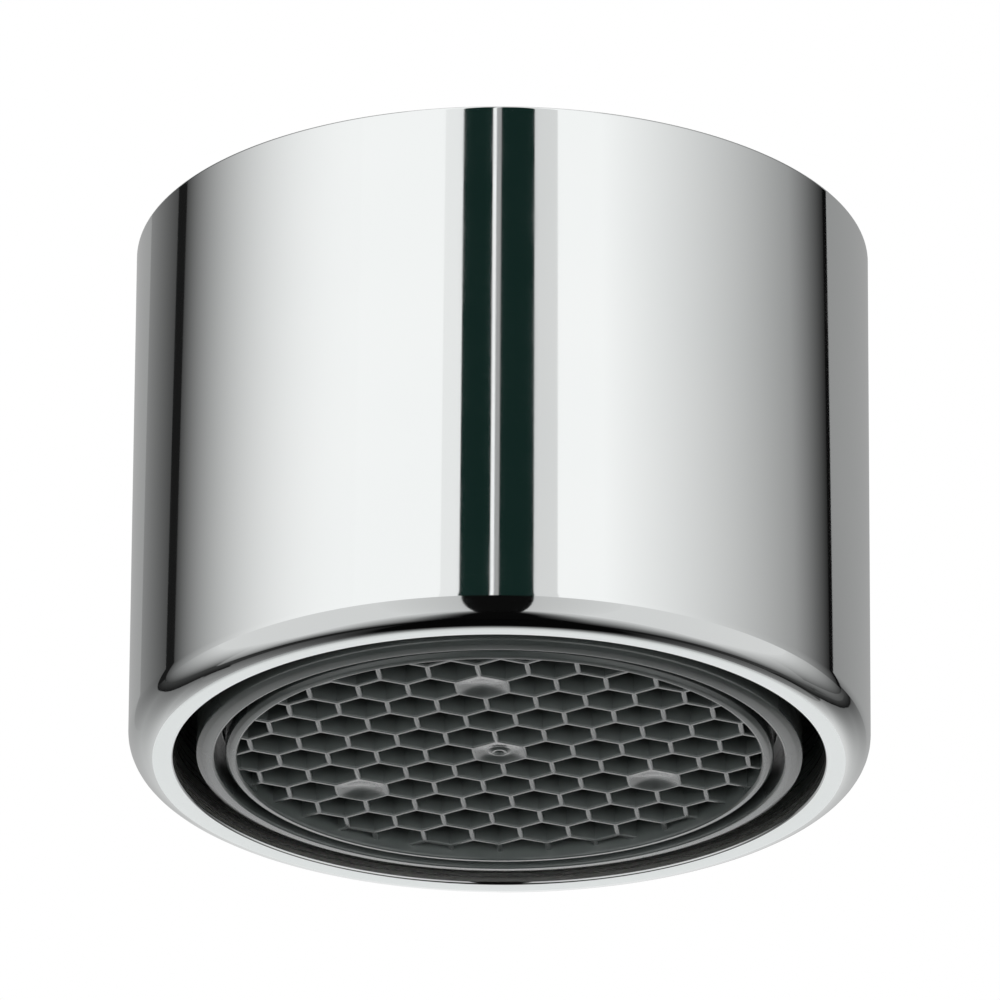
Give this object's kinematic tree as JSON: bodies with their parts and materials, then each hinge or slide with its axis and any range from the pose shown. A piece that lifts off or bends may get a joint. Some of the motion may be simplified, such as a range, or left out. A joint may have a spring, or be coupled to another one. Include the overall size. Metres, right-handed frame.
{
  "type": "tap aerator",
  "caption": "Round chromed tap aerator with a female thread: a sleeve screws over the spout and holds a plastic insert with strainer, flow regulator, air windows and honeycomb outlet.",
  "frame": {"origin": "centre of the outlet lip's plane, on the sleeve's axis", "axes": "+Z along the axis from the outlet up into the spout, -Y towards the side that the picture shows"},
  "size_m": [0.024, 0.024, 0.0178],
  "materials": {
    "chromed_brass": "polished chrome plate on turned brass",
    "grey_plastic": "dark grey moulded acetal, satin",
    "pale_plastic": "pale grey moulded acetal, satin",
    "black_rubber": "black rubber, matt"
  },
  "bodies": {
    "root": {"outlet_sleeve": "chromed_brass", "insert_housing": "grey_plastic", "honeycomb_outlet": "grey_plastic", "lower_grid": "grey_plastic", "upper_grid": "grey_plastic", "diffuser_plate": "grey_plastic", "regulator_body": "pale_plastic", "throttle_ring": "black_rubber", "strainer_dome": "pale_plastic", "sealing_washer": "black_rubber"}
  },
  "joints": []
}
